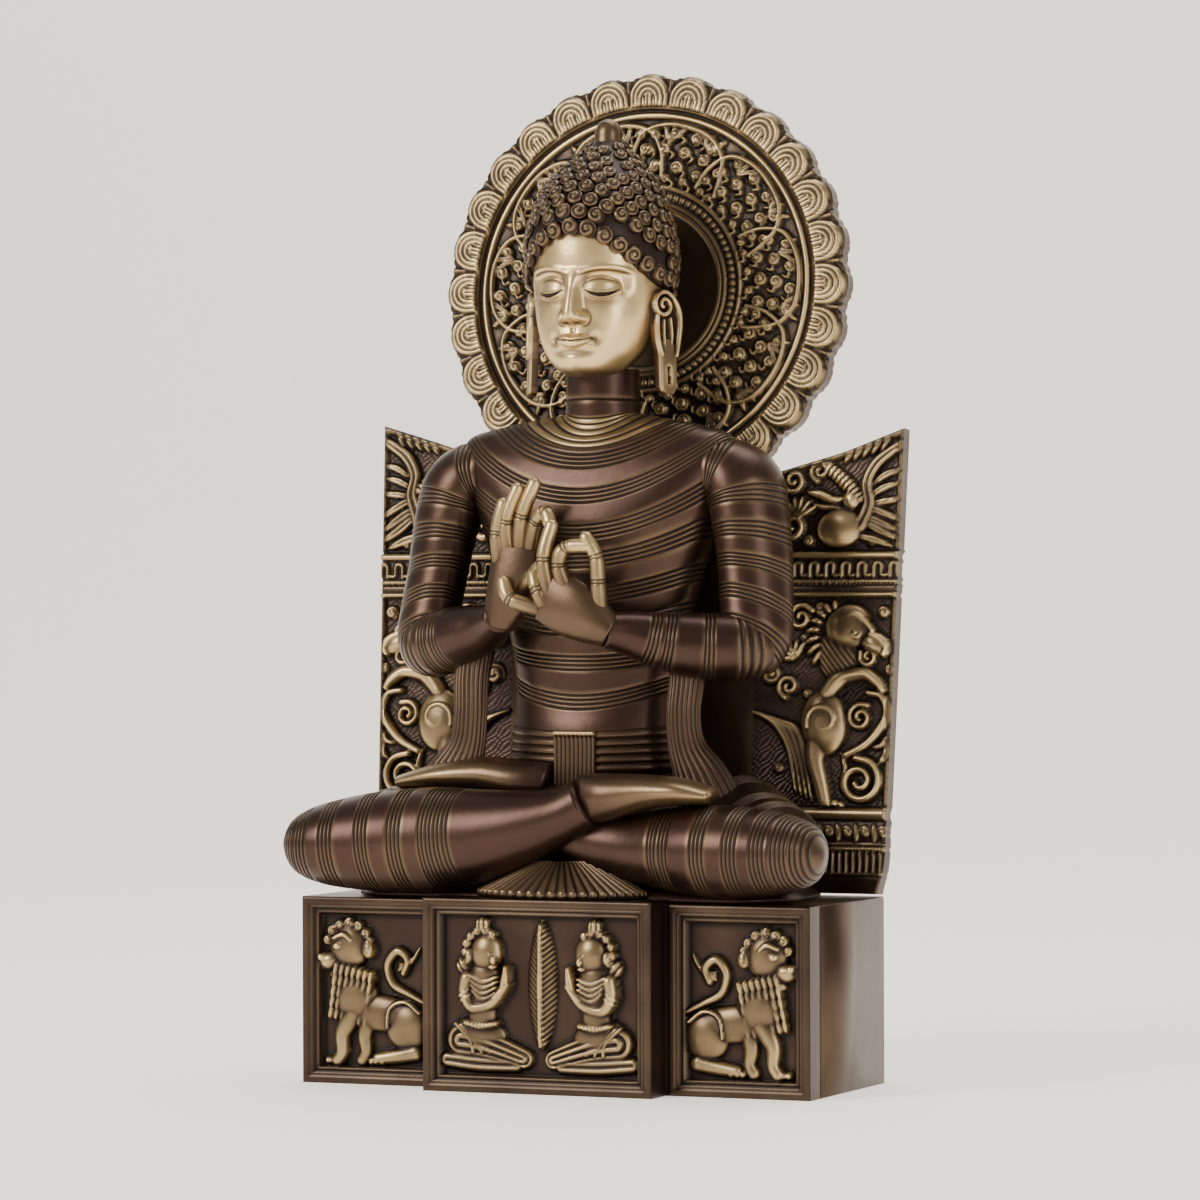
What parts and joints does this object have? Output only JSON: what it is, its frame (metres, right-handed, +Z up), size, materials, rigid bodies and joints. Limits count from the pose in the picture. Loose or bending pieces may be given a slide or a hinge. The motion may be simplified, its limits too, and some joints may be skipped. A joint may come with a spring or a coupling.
{
  "type": "seated buddha figure",
  "caption": "Seated figure in a pleated robe with teaching hands, on a stepped relief plinth with a carved throne back and a round petal-edged halo.",
  "frame": {"origin": "centre of the plinth's underside", "axes": "+Z up, the figure faces -Y, +X to the viewer's right"},
  "size_m": [0.2172, 0.1181, 0.381],
  "materials": {
    "plinth": "cast brass with a dark brown patina, worn bright on the raised relief",
    "throne_back": "cast brass with a dark patina in the hollows and polished gold on the raised relief",
    "halo": "cast brass with a dark patina in the hollows and polished gold on the petals",
    "figure": "cast brass with a soft reddish-brown patina, polished gold on the face and the fingers"
  },
  "bodies": {
    "root": {"plinth": "plinth", "throne_back": "throne_back", "halo": "halo", "figure": "figure"}
  },
  "joints": []
}
